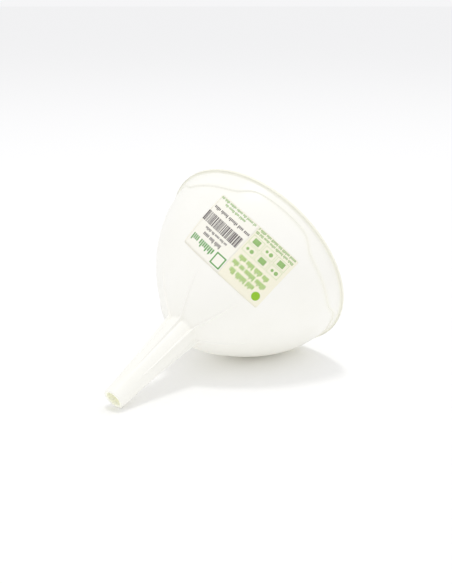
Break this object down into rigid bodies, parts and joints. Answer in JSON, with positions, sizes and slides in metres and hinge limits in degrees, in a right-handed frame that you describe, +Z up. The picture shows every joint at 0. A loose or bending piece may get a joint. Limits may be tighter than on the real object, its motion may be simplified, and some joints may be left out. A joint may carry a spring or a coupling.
{
  "type": "funnel",
  "caption": "Moulded plastic household funnel on its side: bell-shaped bowl, flat rim lip, tapered stem with vent ribs, and a paper label.",
  "frame": {"origin": "bottom centre of the funnel's box as it lies on its side, on the floor", "axes": "+X the way the mouth faces as seen from above, +Y to the side, +Z up; the funnel's own axis lies in the XZ plane and rises towards +X"},
  "size_m": [0.14, 0.1198, 0.1113],
  "materials": {
    "ivory_plastic": "satin moulded bioplastic, slightly translucent",
    "label_paper": "matte printed paper"
  },
  "bodies": {
    "root": {"stem": "ivory_plastic", "bowl": "ivory_plastic", "rim_lip": "ivory_plastic", "vent_rib_1": "ivory_plastic", "vent_rib_2": "ivory_plastic", "vent_rib_3": "ivory_plastic", "vent_rib_4": "ivory_plastic", "vent_rib_5": "ivory_plastic", "vent_rib_6": "ivory_plastic", "vent_rib_7": "ivory_plastic", "paper_label": "label_paper"}
  },
  "joints": []
}
